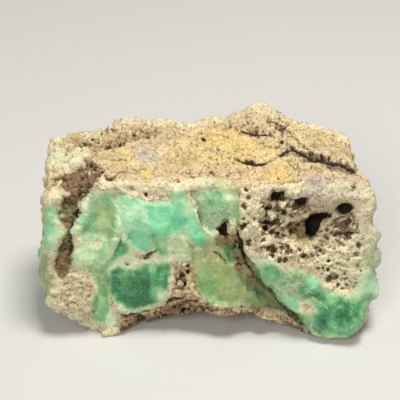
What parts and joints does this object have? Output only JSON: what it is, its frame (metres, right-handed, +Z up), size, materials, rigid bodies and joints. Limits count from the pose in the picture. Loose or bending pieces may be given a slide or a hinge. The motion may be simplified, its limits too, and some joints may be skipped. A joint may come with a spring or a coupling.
{
  "type": "rough chrysoprase specimen",
  "caption": "Blocky rough lump of waxy green chrysoprase in cream to ochre weathered host rock, with open pits, cracks and a low arch between its front feet.",
  "frame": {"origin": "middle of the bounding box, on the plane the stone rests on", "axes": "+X along the stone's length, +Z up, the show face looks towards -Y"},
  "size_m": [0.108, 0.054, 0.058],
  "materials": {
    "stone": "waxy green chalcedony in matt cream, tan and ochre weathered rock"
  },
  "bodies": {
    "root": {"chrysoprase_rough": "stone"}
  },
  "joints": []
}
